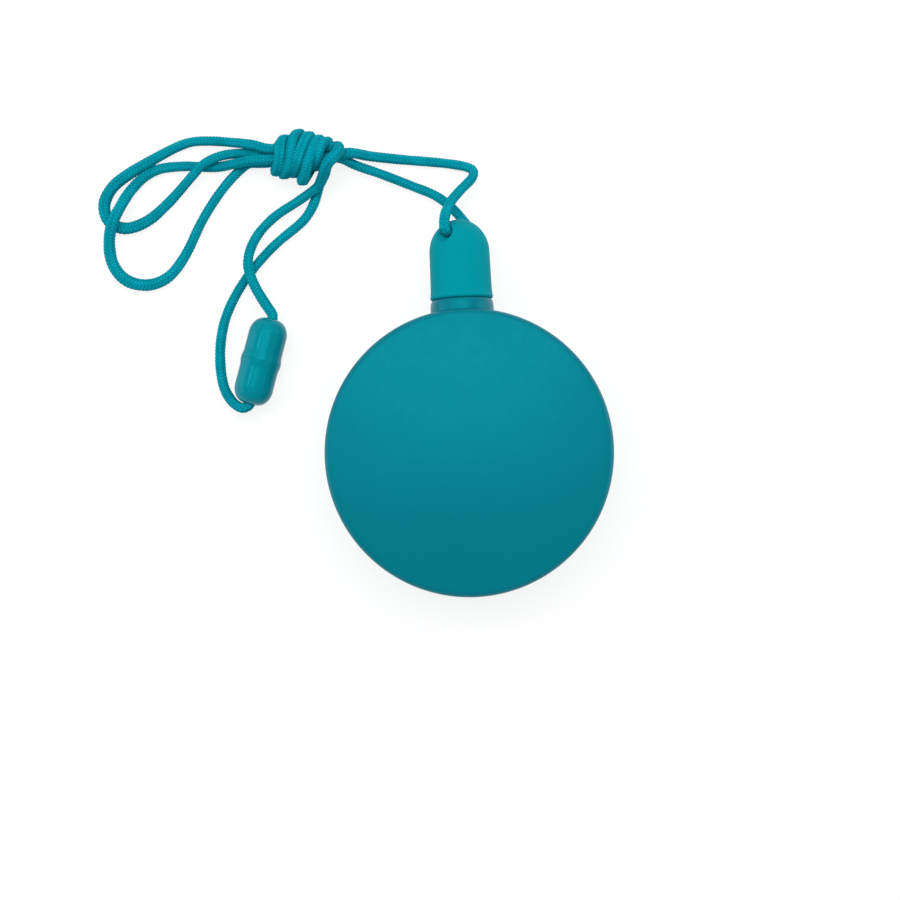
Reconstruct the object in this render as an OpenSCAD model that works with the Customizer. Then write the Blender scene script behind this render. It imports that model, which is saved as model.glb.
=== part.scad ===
// Bubble necklace: a flat round bottle whose screw cap carries the wand, on a knotted cord with a clasp.
// The bottle lies on its flat back: Z points up out of its face and Y points along the neck to the cap.

/* [Bottle] */
// Diameter of the round body
disc_d = 62; // [58:0.5:68]
// Thickness of the body from its flat back to the top of its domed face
disc_t = 19; // [18:0.5:22]
// Rise of the domed face above the front edge
face_dome = 2.4; // [1.6:0.1:2.8]
// Radius of the rounded front and back edges
edge_r = 1.2; // [0.8:0.1:1.3]
// Diameter of the flat on the back that the bottle rests on
back_flat_d = 40; // [30:1:46]
// Wall of the blow-moulded bottle
bottle_wall = 1.3; // [1:0.1:1.6]

/* [Neck] */
// Diameter of the neck at the root of its thread
neck_d = 10; // [9.4:0.1:10.4]
// Bore of the neck
neck_bore_d = 7.6; // [7.4:0.1:7.8]
// Length of the neck from its collar to its rim
neck_len = 11; // [10:0.25:12]
// Diameter of the collar under the cap
collar_d = 13.2; // [12.8:0.1:13.3]
// Height of the collar above the round body
collar_h = 2.3; // [1.8:0.1:2.8]

/* [Thread] */
// Rise of the cap in one turn
thread_lead = 3; // [2.8:0.1:3.4]
// Height of the thread ridge
thread_depth = 0.6; // [0.45:0.05:0.7]
// Turns of ridge on the neck and in the cap
thread_turns = 1.75; // [1.25:0.25:2]

/* [Cap] */
// Wall of the cap round the thread
cap_wall = 0.9; // [0.8:0.05:1.1]
// Length of the straight side of the cap
cap_side = 10.4; // [9.8:0.1:11]
// Height of the cap's dome
dome_h = 7.2; // [6.8:0.1:8]
// Depth of the cord hole's axis below the top of the dome
cord_hole_drop = 2.9; // [2.7:0.1:3.1]
// Outer diameter of the socket that holds the wand
wand_socket_d = 5; // [4.6:0.1:5.2]
// Depth of the socket that holds the wand
wand_socket_len = 4.4; // [3.8:0.1:5]

/* [Wand] */
// Diameter of the wand's stem
stem_d = 2.4; // [2.2:0.1:2.6]
// Length of the wand below the cap's ceiling
wand_len = 54; // [50:1:56]
// Width of the wand's drop-shaped loop
loop_w = 6.8; // [6.6:0.1:7]
// Length of the loop
loop_len = 15.6; // [14:0.2:17]
// Width of the rim of the loop
loop_rim = 1.1; // [0.9:0.05:1.2]
// Thickness of the loop
loop_t = 2; // [1.6:0.1:2.4]

/* [Seal] */
// Thickness of the sealing ring under the cap's ceiling
seal_t = 0.9; // [0.7:0.1:1.1]

/* [Clasp] */
// Diameter of the clasp barrel
clasp_d = 8.2; // [8:0.1:8.6]
// Diameter of the raised collar where the halves meet
clasp_collar_d = 8.9; // [8.8:0.1:9.2]
// Length of one half of the clasp
clasp_half = 9.6; // [9.4:0.1:10.2]
// Length of the spigot that enters the socket
spigot_len = 4.4; // [4:0.1:4.6]
// Diameter of the spigot
spigot_d = 6.2; // [6.1:0.05:6.3]
// Diameter of the chamber that holds a stop knot
chamber_d = 4.9; // [4.8:0.05:5]

/* [Cord] */
// Diameter of the braided cord
cord_d = 2.1; // [1.9:0.05:2.1]
// Turns of the big knot's winding
knot_turns = 4; // [3:1:4]

/* [Fits] */
// Gap between pieces that turn or slide on each other
run_gap = 0.15; // [0.1:0.05:0.2]
// Gap between the neck's collar and the cap's lip
lip_gap = 0.25; // [0.15:0.05:0.4]
// Gap between the crest of one thread and the root of the other
thread_gap = 0.15; // [0.1:0.05:0.25]
// Room round the cord in the holes that it passes
cord_room = 0.5; // [0.4:0.05:0.6]
// Interference that holds the wand in its socket
press = 0.04; // [0.02:0.01:0.06]

/* [Hidden] */
$fn = 64;
teal = "#078a9b";
cord_teal = "#0d7f92";
cream = "#f4f1e6";
rubber = "#d9dcd6";
cut = 0.5;

// Body of the bottle: its edge circles and the sphere of its face
disc_r = disc_d / 2;
back_rise = 0.6;
rim_top = disc_t - face_dome;
rim_mid = (back_rise + rim_top) / 2;
edge_at = disc_r - edge_r;
inner_edge_r = 0.8;
face_r = (edge_at * edge_at + face_dome * face_dome) / (2 * face_dome);

// Neck: it leaves the middle of the rim along Y
neck_z = rim_mid;
collar_root = 3;
collar_top = disc_r + collar_h;
rim_y = collar_top + neck_len;

// Cap: it starts a running gap above the collar and its ceiling lies on the seal
cap_y = collar_top + lip_gap;
thread_bore_r = neck_d / 2 + thread_depth + thread_gap;
cap_r = thread_bore_r + cap_wall;
cap_draft = 0.1;
cap_lip = 0.25;
lip_chamfer = 0.3;
flare = 0.1;
flare_from = 0.6;
flare_h = 1.8;
cap_h = cap_side + dome_h;
seal_y = rim_y + run_gap / 3;
ceiling_y = seal_y + seal_t + run_gap / 3;
ceiling_h = ceiling_y - cap_y;
seal_bore_guide = 1.3;
seal_bore_d = neck_d + 2 * thread_gap + 2 * run_gap;
seal_bore_h = seal_t + seal_bore_guide;
cord_hole_d = cord_d + cord_room;
hole_y = cap_y + cap_h - cord_hole_drop;
hole_turn = 55;

// Thread: ridge widths, steps in a turn, and the start of the ridge above the neck's collar
ridge_root = 1.3;
ridge_crest = 0.6;
thread_steps = 20;
thread_sink = 0.25;
thread_start = 2.6;

// Wand: it hangs from the ceiling down the neck's axis
loop_tip_y = ceiling_y - wand_len;
loop_top_y = loop_tip_y + loop_len;
loop_end_r = stem_d / 2;

// Clasp: it lies on its collar, beside the bottle
clasp_at = [-44.6, 22.6, clasp_collar_d / 2];
clasp_turn = -17;
clasp_end_r = 2.6;
clasp_collar_len = 3.6;
socket_d = spigot_d + 2 * run_gap;
socket_len = spigot_len + 2 * run_gap;
end_wall = 1.6;
stop_knot_d = chamber_d - 2 * run_gap;
stop_knot_len = 3;
stop_knot_at = clasp_half - end_wall - run_gap - stop_knot_len / 2;

// Levels of the cord's centre line: on the surface, and lifted over another run
floor_z = cord_d / 2;
low_z = 1.25 * floor_z + 0.5;
over_z = floor_z + 1.12 * cord_d;

// Big knot: its middle, and three straight core strands in the winding
knot_at = [-33, 68, 2.4 * cord_d];
core_high = 0.31 * cord_d;
core_low = -0.67 * cord_d;
core_side = 0.57 * cord_d;
wind_y = 1.95 * cord_d;
wind_z = 1.79 * cord_d;
wind_pitch = 1.29 * cord_d;
wind_lean = 0.2;
wind_x = -3.1 * cord_d;
wind_steps = 24;
wind_first = 0.06;
wind_last = knot_turns + 0.22;

// A point near the cap moves with its cord hole, one in the knot with the knot's middle
function at_cap(p) = [p[0], hole_y + p[1], neck_z + p[2]];
function at_knot(p) = knot_at + p;
// A point of the clasp's axis by its distance from the seam, and one near the cord hole's axis by its
// distance from the cap's axis and its height over the hole
function on_clasp(s) = clasp_at + s * [-sin(clasp_turn), cos(clasp_turn), 0];
function on_hole(s, up) = at_cap([-s * cos(hole_turn), up, s * sin(hole_turn)]);

// Front run: cord hole, knot, short loop on the left, knot, down to the clasp's lower strand
front_route = concat(
  [on_hole(0, 0), on_hole(3.6, 0), on_hole(4.6, 0.2), on_hole(5.2, 0.8), on_hole(5.3, 1.7)],
  [at_cap([-2.6, 4, 3.2]), at_cap([-1.3, 7, 0.2]), at_cap([1.2, 10.2, -3.2])],
  [[3.8, 61.6, low_z], [3.9, 63.1, floor_z], [1.8, 64.2, floor_z]],
  [[-12, 66.3, floor_z], [-19, 67.2, low_z + 0.6]],
  [at_knot([8.5, 0.5, core_high - 0.2]), at_knot([5.5, core_side, core_high])],
  [at_knot([-7.5, core_side, core_high]), [-44, 70.4, 5], [-49, 71.6, 2.8], [-54.6, 72.5, floor_z]],
  [[-59.4, 72.2, floor_z], [-67.8, 68.15, low_z], [-72.4, 65.8, floor_z]],
  [[-76.1, 63, floor_z], [-78, 59.2, floor_z], [-77, 55.5, floor_z], [-73.6, 53.8, floor_z]],
  [[-68.6, 55.2, floor_z], [-63.4, 59.4, floor_z], [-58.2, 64.3, over_z - 0.2]],
  [[-55.4, 67, over_z + 0.1], [-51.4, 68.7, over_z - 0.3], [-46.5, 69.2, low_z + 0.3]],
  [at_knot([-9, 0.4, core_low - 0.15]), at_knot([5.2, 0, core_low]), at_knot([6.8, -0.8, core_low - 0.3])],
  [at_knot([7.1, -2.5, core_low - 0.9]), at_knot([5.8, -4.9, core_low - 1.8])],
  [[-29.3, 61, floor_z], [-31.5, 57.6, floor_z]]
);

// Back run: cord hole, knot, long loop on the left, start of the knot's winding
back_route = concat(
  [on_hole(0, 0), on_hole(-3.6, 0), on_hole(-4.6, 0.2), on_hole(-5.2, 0.8), on_hole(-5.3, 1.7)],
  [at_cap([2, 3.8, -4.8]), at_cap([-0.2, 6, -5.2])],
  [[-4, 57.4, low_z], [-10, 60.4, floor_z], [-17, 63.4, low_z], [-22, 65.1, low_z + 2.4]],
  [at_knot([8, -1.9, core_high]), at_knot([5.5, -core_side, core_high])],
  [at_knot([-7.5, -core_side, core_high]), [-44.6, 67.1, 4.6], [-48.6, 66.8, 3], [-53, 66.5, low_z - 0.5]],
  [[-60, 67.1, floor_z], [-66.6, 66.4, floor_z], [-71.4, 62.9, floor_z]],
  [[-74.5, 57.8, over_z - 0.4], [-76.1, 54.4, over_z], [-77.1, 50.6, low_z], [-76.6, 46, floor_z]],
  [[-73.8, 42.3, floor_z], [-69, 41, floor_z], [-64.4, 42.6, floor_z], [-60.4, 47.4, floor_z]],
  [[-56.6, 54.6, floor_z], [-52, 61.2, floor_z], [-48.2, 65.2, floor_z], [-45.6, 67, floor_z]],
  [[-43.1, 67, floor_z]]
);

// Winding of the big knot: turns round the core, leaning, with slack near its left end
function slack(t) = 1 + 0.13 * exp(-pow((t - 1.3) / 0.9, 2));
function wind_point(t) = let(a = 270 + 360 * t, y = wind_y * slack(t) * cos(a))
  at_knot([wind_x + wind_pitch * t + wind_lean * y, y, wind_z * sin(a)]);
wind_rings = round((wind_last - wind_first) * wind_steps);
wind_route = concat(
  [[-43.1, 67, floor_z], [-41.1, 67, floor_z], [-40.2, 67.5, floor_z], [-39.8, 68.5, floor_z + 0.1]],
  [for (i = [0:wind_rings]) wind_point(wind_first + (wind_last - wind_first) * i / wind_rings)],
  [at_knot([6.2, 3.1, 2.4]), at_knot([6.5, 1.8, 3.4]), at_knot([6.5, 0.2, 3.9])],
  [at_knot([6.1, -1.6, 3.7]), at_knot([5.6, -3.2, 2.8]), at_knot([5.2, -4.6, 1.4])],
  [at_knot([4.6, -6, 0]), at_knot([2.7, -7.2, -1])]
);

// Strands from the knot to the two ends of the clasp
upper_route = concat(
  [at_knot([2.7, -7.2, -1]), at_knot([0.8, -8.4, -2]), [-35.2, 57.9, low_z], [-40.4, 54.9, floor_z]],
  [[-44.6, 50.6, low_z - 0.3], [-46.6, 45, over_z], [-45.7, 40.4, over_z], [-43.7, 36.6, 3.8]],
  [on_clasp(clasp_half + 1.9), on_clasp(stop_knot_at + stop_knot_len / 2)]
);
lower_route = concat(
  [[-31.5, 57.6, floor_z], [-33.9, 53.9, floor_z], [-40.2, 49, floor_z], [-45.4, 43.8, floor_z]],
  [[-49.8, 37.8, floor_z], [-52.6, 31.8, floor_z], [-53.8, 24.6, floor_z], [-53.2, 17.6, low_z - 0.4]],
  [[-51.4, 14.3, low_z + 0.8], [-50, 13.05, 3.8], [-49.3, 12.7, 4.2]],
  [[-48.6, 12.65, clasp_at[2]], [-47.95, 12.9, clasp_at[2]]],
  [on_clasp(-clasp_half - 0.2), on_clasp(-stop_knot_at - stop_knot_len / 2)]
);

// Least distance between the winding's own surfaces, on its points a third of a turn or more apart
wind_gap = min([for (i = [0:len(wind_route) - 1])
  for (j = [i + 8:1:len(wind_route) - 1]) norm(wind_route[i] - wind_route[j])]) - cord_d;
echo(least_gap_in_winding = wind_gap);

// Points of an arc, from angle a to angle b in n steps
function arc(c, r, a, b, n) = [for (i = [0:n]) c + r * [cos(a + (b - a) * i / n), sin(a + (b - a) * i / n)]];

// Half outline of the bottle's body, set in from its outside by a distance, with edges of radius r
function disc_outline(inset, r) = let(
    at = disc_r - inset - r,
    dome = face_r - inset,
    dome_z = disc_t - face_r,
    spread = asin(at / dome)
  ) concat(
    [[0, inset], [back_flat_d / 2, inset]],
    arc([at, back_rise + inset + r], r, -90, 0, 5),
    arc([at, rim_top - inset - r], r, 0, 80, 5),
    [for (i = [0:10]) dome * [sin(spread * (1 - i / 10)), cos(spread * (1 - i / 10))] + [0, dome_z]]
  );

// Half outline of the cap's outside, from its lip to the top of its dome
function cap_outline() = concat(
  [[0, 0], [cap_r - lip_chamfer, 0]],
  arc([cap_r, cap_lip], cap_lip, -60, 60, 5),
  [for (i = [0:4]) [cap_r + flare * pow(1 - i / 4, 2), flare_from + flare_h * i / 4]],
  [for (i = [0:14]) [(cap_r - cap_draft) * cos(90 * i / 14), cap_side + dome_h * sin(90 * i / 14)]]
);

// Closed skin over rings of points, with a flat face at both ends
module skin(rings) {
  n = len(rings);
  k = len(rings[0]);
  sides = [for (i = [0:n - 2]) for (j = [0:k - 1]) let(m = (j + 1) % k) each [
    [i * k + j, (i + 1) * k + j, (i + 1) * k + m],
    [i * k + j, (i + 1) * k + m, i * k + m],
  ]];
  first = [for (j = [1:k - 2]) [0, j, j + 1]];
  last = [for (j = [1:k - 2]) [(n - 1) * k, (n - 1) * k + j + 1, (n - 1) * k + j]];
  polyhedron([for (ring = rings) each ring], concat(sides, first, last));
}

// Round tube along a route: each ring stands across the bend, turned as little as it can be from the last
function unit(v) = v / norm(v);
function headings(p) = let(n = len(p)) [for (i = [0:n - 1])
  unit(unit(p[min(i + 1, n - 1)] - p[min(i, n - 2)]) + unit(p[max(i, 1)] - p[max(i - 1, 0)]))];
function sides_of(h) = [for (
    i = 0, s = unit(cross(h[0], [0.3, 0.2, 1]));
    i < len(h);
    i = i + 1, s = i < len(h) ? unit(s - (s * h[i]) * h[i]) : s
  ) s];
module tube(route, d, sides) {
  h = headings(route);
  s = sides_of(h);
  skin([for (i = [0:len(route) - 1]) let(up = cross(h[i], s[i]))
    [for (j = [0:sides - 1]) route[i] + d / 2 * (cos(360 * j / sides) * s[i] + sin(360 * j / sides) * up)]]);
}

// Helical ridge on a cylinder about Z: out is 1 on the outside of a neck and -1 on the inside of a cap
module ridge(root_r, out) {
  n = round(thread_turns * thread_steps);
  skin([for (i = [0:n]) let(
      a = 360 * i / thread_steps,
      z = thread_lead * i / thread_steps,
      crest = root_r + out * thread_depth,
      root = root_r - out * thread_sink,
      corners = [[root, -ridge_root / 2], [crest, -ridge_crest / 2], [crest, ridge_crest / 2], [root, ridge_root / 2]]
    ) [for (j = out > 0 ? [3:-1:0] : [0:3]) [corners[j][0] * cos(a), corners[j][0] * sin(a), z + corners[j][1]]]]);
}

// Stands a shape drawn along Z on the neck's axis, with its foot at y
module on_neck(y) {
  translate([0, y, neck_z]) rotate([-90, 0, 0]) children();
}

// Lays a shape drawn along Z on the clasp's axis, with its foot on the seam
module on_clasp_axis(end) {
  translate(clasp_at) rotate([0, 0, clasp_turn]) rotate([end * -90, 0, 0]) children();
}

module bottle() {
  color(teal) difference() {
    union() {
      rotate_extrude() polygon(disc_outline(0, edge_r));
      on_neck(disc_r - collar_root) cylinder(d = collar_d, h = collar_h + collar_root);
      on_neck(collar_top - cut) cylinder(d = neck_d, h = neck_len + cut);
      on_neck(collar_top + thread_start) ridge(neck_d / 2, 1);
    }
    rotate_extrude() polygon(disc_outline(bottle_wall, inner_edge_r));
    on_neck(disc_r - 2 * collar_root) cylinder(d = neck_bore_d, h = rim_y - disc_r + 2 * collar_root + cut);
  }
}

module cap() {
  color(teal) on_neck(cap_y) difference() {
    union() {
      difference() {
        rotate_extrude() polygon(cap_outline());
        translate([0, 0, -cut]) cylinder(r = thread_bore_r, h = ceiling_h - seal_bore_h + cut);
        cylinder(d = seal_bore_d, h = ceiling_h);
      }
      translate([0, 0, thread_start + thread_lead / 2 - run_gap]) ridge(thread_bore_r, -1);
      translate([0, 0, ceiling_h - wand_socket_len]) cylinder(d = wand_socket_d, h = wand_socket_len + cut);
    }
    translate([0, 0, ceiling_h - wand_socket_len - cut]) cylinder(d = stem_d - press, h = wand_socket_len + cut);
    translate([0, 0, cap_h - cord_hole_drop]) rotate([0, 0, 180 + hole_turn]) rotate([0, 90, 0])
      cylinder(d = cord_hole_d, h = 4 * cap_r, center = true);
  }
}

// Flat drop shape: a round end of the loop's width, drawn in by straight flanks to the stem
module drop(r_round, r_stem, length) {
  reach = length - r_round - r_stem;
  lean = asin((r_round - r_stem) / reach);
  side = [cos(lean), sin(lean)];
  circle(r = r_round);
  translate([0, reach]) circle(r = r_stem);
  polygon([r_round * side, [0, reach] + r_stem * side, [-r_stem * side[0], reach + r_stem * side[1]],
    [-r_round * side[0], r_round * side[1]]]);
}

module bubble_wand() {
  color(cream) difference() {
    union() {
      translate([0, loop_tip_y + loop_w / 2, neck_z - loop_t / 2])
        linear_extrude(loop_t) drop(loop_w / 2, loop_end_r, loop_len);
      on_neck(loop_top_y - 2 * loop_end_r) cylinder(d = stem_d, h = ceiling_y - loop_top_y + 2 * loop_end_r);
    }
    translate([0, loop_tip_y + loop_w / 2, neck_z - loop_t])
      linear_extrude(2 * loop_t) drop(loop_w / 2 - loop_rim, loop_end_r / 2, loop_len - 4 * loop_rim);
  }
}

module seal_washer() {
  color(rubber) on_neck(seal_y) difference() {
    cylinder(d = neck_d, h = seal_t);
    translate([0, 0, -cut]) cylinder(d = wand_socket_d + 2 * run_gap, h = seal_t + 2 * cut);
  }
}

// Solid outside of one half of the clasp, from the seam to its rounded end
module clasp_body() {
  bulge = (clasp_collar_d - clasp_d) / 2;
  rotate_extrude() polygon(concat(
    [[0, 0]],
    [for (i = [0:6]) [clasp_d / 2 + bulge * pow(cos(15 * i), 2), clasp_collar_len / 2 * i / 6]],
    arc([clasp_d / 2 - clasp_end_r, clasp_half - clasp_end_r], clasp_end_r, 0, 90, 8),
    [[0, clasp_half]]
  ));
}

// Cord hole through the end of a clasp half
module clasp_end_hole() {
  translate([0, 0, clasp_half - end_wall - cut]) cylinder(d = cord_hole_d, h = end_wall + 2 * cut);
}

module clasp_socket() {
  color(teal) on_clasp_axis(1) difference() {
    clasp_body();
    translate([0, 0, -cut]) cylinder(d = socket_d, h = socket_len + cut);
    cylinder(d = chamber_d, h = clasp_half - end_wall);
    clasp_end_hole();
  }
}

module clasp_plug() {
  color(teal) on_clasp_axis(-1) difference() {
    union() {
      translate([0, 0, run_gap]) intersection() {
        clasp_body();
        cylinder(d = 2 * clasp_d, h = clasp_half - run_gap);
      }
      translate([0, 0, -spigot_len]) cylinder(d = spigot_d, h = spigot_len + end_wall);
    }
    translate([0, 0, -spigot_len - cut]) cylinder(d = chamber_d, h = spigot_len + clasp_half - end_wall + cut);
    clasp_end_hole();
  }
}

// Stop knot drawn up in a cord end, with a flat face where the cord leaves it
module stop_knot() {
  half = stop_knot_len / 2;
  translate([0, 0, stop_knot_at]) rotate_extrude() intersection() {
    circle(d = stop_knot_d);
    translate([0, -half]) square([stop_knot_d, stop_knot_len]);
  }
}

module cord_end_knot_upper() { color(cord_teal) on_clasp_axis(1) stop_knot(); }
module cord_end_knot_lower() { color(cord_teal) on_clasp_axis(-1) stop_knot(); }
module cord_front_run() { color(cord_teal) tube(front_route, cord_d, 8); }
module cord_back_run() { color(cord_teal) tube(back_route, cord_d, 8); }
module cord_knot() { color(cord_teal) tube(wind_route, cord_d, 6); }
module cord_clasp_upper() { color(cord_teal) tube(upper_route, cord_d, 8); }
module cord_clasp_lower() { color(cord_teal) tube(lower_route, cord_d, 8); }

bottle();
cap();
bubble_wand();
seal_washer();
cord_front_run();
cord_back_run();
cord_knot();
cord_clasp_upper();
cord_clasp_lower();
cord_end_knot_upper();
cord_end_knot_lower();
clasp_socket();
clasp_plug();
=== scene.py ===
import math

import bmesh
import bpy
import numpy as np
from mathutils import Matrix, Vector


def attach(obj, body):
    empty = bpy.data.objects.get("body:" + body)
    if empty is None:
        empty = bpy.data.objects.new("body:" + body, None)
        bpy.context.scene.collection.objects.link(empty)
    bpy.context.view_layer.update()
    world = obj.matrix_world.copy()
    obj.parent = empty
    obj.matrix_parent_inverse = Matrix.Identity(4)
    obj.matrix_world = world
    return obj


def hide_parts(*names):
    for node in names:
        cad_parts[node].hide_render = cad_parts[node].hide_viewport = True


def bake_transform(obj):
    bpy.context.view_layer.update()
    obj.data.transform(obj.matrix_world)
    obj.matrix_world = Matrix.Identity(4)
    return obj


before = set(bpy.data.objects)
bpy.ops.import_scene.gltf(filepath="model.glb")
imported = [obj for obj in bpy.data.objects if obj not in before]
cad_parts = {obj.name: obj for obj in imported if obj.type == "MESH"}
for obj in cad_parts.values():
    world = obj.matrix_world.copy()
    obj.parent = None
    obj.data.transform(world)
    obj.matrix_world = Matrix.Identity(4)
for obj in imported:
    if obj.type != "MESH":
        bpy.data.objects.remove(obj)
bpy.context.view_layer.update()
mm = 0.001  # sizes below are in millimetres, meshes are in metres
mergeGap = 1e-7  # metres between points that are one
scene = bpy.context.scene
scene.view_settings.view_transform = "Standard"
print("frame loaded")


# camera: almost straight down, a little from the side of the bottle's foot
photoView = {
    "eye": (-4.1, -24.9, 503.2),
    "tilt": 3,  # degrees
    "roll": 2.72,
    "lens": 91.35,
    "clip": (0.02, 20),  # metres
}


def placeCamera(view):
    tilt, roll = math.radians(view["tilt"]), math.radians(view["roll"])
    back = Vector((0, -math.sin(tilt), math.cos(tilt)))
    level = Vector((1, 0, 0))
    rise = Vector((0, math.cos(tilt), math.sin(tilt)))
    right = level * math.cos(roll) - rise * math.sin(roll)
    up = level * math.sin(roll) + rise * math.cos(roll)
    data = bpy.data.cameras.new("photoCamera")
    data.lens = view["lens"]
    data.clip_start, data.clip_end = view["clip"]
    camera = bpy.data.objects.new("photoCamera", data)
    scene.collection.objects.link(camera)
    turn = Matrix((right, up, back)).transposed().to_4x4()
    camera.matrix_world = Matrix.Translation(Vector(view["eye"]) * mm) @ turn
    scene.camera = camera


placeCamera(photoView)
print("camera placed")


# sizes that several pieces share; along the neck they count from the disc's middle
neck = {
    "z": 8.6,  # height of the neck's axis
    "discR": 31,
    "collarTop": 33.47,
    "rim": 44.3,
    "capFoot": 33.55,
    "ceiling": 45.3,  # inside of the cap's top
    "holeY": 48.25,
    "holeTurn": 55,  # degrees that the cord's hole rises to the left
    "holeMouth": 3.6,  # from the neck's axis along the hole
}
# along the clasp they count from its seam
clasp = {
    "at": (-44.6, 22.6, 4.45),
    "turn": -17,  # degrees
    "half": 9.6,
    "endWall": 1.6,
    "knotAt": 6.35,
    "cordEnd": 7.85,
    "bendFrom": 4,
}


def linkMesh(name, mesh):
    piece = bpy.data.objects.new(name, mesh)
    scene.collection.objects.link(piece)
    return piece


def meshFrom(name, bm):
    mesh = bpy.data.meshes.new(name)
    bm.to_mesh(mesh)
    bm.free()
    return mesh


def smoothShade(piece, angle):
    piece.data.polygons.foreach_set("use_smooth", [True] * len(piece.data.polygons))
    piece.data.set_sharp_from_angle(angle=math.radians(angle))


# cord: one line from the clasp's socket through the knot, both loops and the cap to the clasp's plug
cordLook = {
    "diameter": 2.28,
    "stitch": 0.76,  # length of one knitted stitch
    "columns": 6,  # columns of stitches round the cord
    "sides": 36,
    "ringsPerStitch": 8,
    "sharp": 80,  # degrees from which an edge is left sharp, here and in the other pieces
    "relief": 0.14,
    "slack": 0.05,  # how much the soft tube swells and thins on its way
    "longWave": 0.083,  # of the slack, in radians a stitch
    "longStart": 1.1,
    "shortWave": 0.9,
    "beatWave": 0.23,
    "shortShare": 0.4,
    "fuller": 0.16,  # how much it opens in the loops' far ends, where nothing pulls on it
    "fullFrom": -56,  # along X
    "fullAt": -74,
}
stitchForm = {
    "lean": 0.8,  # how far a stitch's legs run back, in stitches
    "edgeDrop": 0.7,
    "edgePower": 4,
    "split": 0.4,
    "splitWidth": 0.25,
    "groove": 0.3,  # height left between two stitches
}
roundPower = 2  # power of a round section, more is squarer
cordLevels = {"floor": 1.18, "low": 1.8125, "over": 3.402}
# core: how far from the knot's middle the strands inside it run; tops and bottoms: where its turns
# cross its two edges, as (along, across) from the middle
knotShape = {
    "at": (-33, 68, 5.11),
    "coreHigh": 0.651,
    "coreLow": -1.407,
    "coreSide": 1.15,
    "depth": 3.76,
    "tops": [(-3.8, 3.1), (-0.7, 4.3), (1.4, 3.5), (3.4, 2.7), (5.2, 2.1), (6.8, 1.1)],
    "bottoms": [(-6.4, -3.5), (-4.7, -4.2), (-2.7, -4.1), (-0.7, -5.8), (1.6, -3)],
    "sway": 0.25,
    "underLag": 1.5,  # a turn moves on late while it is under the knot
    "swell": 1.15,
    "uneven": 0.06,
    "unevenWaves": 31,  # radians along the winding
    "pressed": 3,  # power of the section, where turns press on each other
    "ringsPerStitch": 6,  # stitches are shorter here than along the open cord
    "stepsPerHalf": 12,
}


def onHole(out, up):
    turn = math.radians(neck["holeTurn"])
    return (-out * math.cos(turn), neck["holeY"] + up, neck["z"] + out * math.sin(turn))


def atCap(x, y, z):
    return (x, neck["holeY"] + y, neck["z"] + z)


def atKnot(x, y, z):
    cx, cy, cz = knotShape["at"]
    return (cx + x, cy + y, cz + z)


def onClasp(along):
    turn = math.radians(clasp["turn"])
    x, y, z = clasp["at"]
    return (x - along * math.sin(turn), y + along * math.cos(turn), z)


def halfTurn(start, end, depth):
    # half an ellipse from one edge of the knot to the other, over it, or under it to the next turn
    points = []
    for i in range(knotShape["stepsPerHalf"]):
        u = i / knotShape["stepsPerHalf"]
        swing = (1 - math.cos(math.pi * u)) / 2
        onward = u if depth > 0 else u ** knotShape["underLag"]
        sway = knotShape["sway"] * math.sin(2 * math.pi * u) * math.sin(2 * start[0])
        x = start[0] + (end[0] - start[0]) * onward + sway
        y = start[1] + (end[1] - start[1]) * swing
        points.append(atKnot(x, y, depth * math.sin(math.pi * u)))
    return points


floorZ, lowZ, overZ = cordLevels["floor"], cordLevels["low"], cordLevels["over"]
coreHigh, coreLow, coreSide = knotShape["coreHigh"], knotShape["coreLow"], knotShape["coreSide"]
mouth, claspZ = neck["holeMouth"], clasp["at"][2]

# cap's front hole, knot, short loop on the left, knot, down towards the clasp
frontRoute = [
    onHole(0, 0), onHole(mouth, 0), onHole(4.6, 0.2), onHole(5.2, 0.8), onHole(5.3, 1.7),
    atCap(-2.6, 4, 3.2), atCap(-1.3, 7, 0.2), atCap(1.2, 10.2, -3.2),
    (3.8, 61.6, lowZ), (3.9, 63.1, floorZ), (1.8, 64.2, floorZ), (-12, 66.3, floorZ),
    (-19, 67.2, lowZ + 0.6),
    atKnot(10.2, -0.4, coreHigh - 0.6), atKnot(8, -0.5, coreHigh), atKnot(5.5, coreSide, coreHigh),
    atKnot(-7.5, coreSide, coreHigh), (-44, 70.4, 5), (-49, 71.6, 2.8), (-54.6, 72.5, floorZ),
    (-59.4, 72.2, floorZ), (-67.8, 68.15, lowZ), (-72.4, 65.8, floorZ),
    (-76.1, 63, floorZ), (-78, 59.2, floorZ), (-77, 55.5, floorZ), (-73.6, 53.8, floorZ),
    (-68.6, 55.2, floorZ), (-63.4, 59.4, floorZ), (-58.2, 64.3, overZ - 0.2),
    (-55.4, 67, overZ + 0.1), (-51.4, 68.7, overZ - 0.3), (-46.5, 69.2, lowZ + 0.3),
    atKnot(-9, 0.4, coreLow - 0.15), atKnot(3.6, 0, coreLow), atKnot(4.7, -0.8, coreLow - 0.3),
    atKnot(4.6, -2.4, coreLow - 0.9), atKnot(4.1, -4.4, coreLow - 1.9),
    (-30, 62, floorZ), (-31.5, 57.6, floorZ),
]
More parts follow.
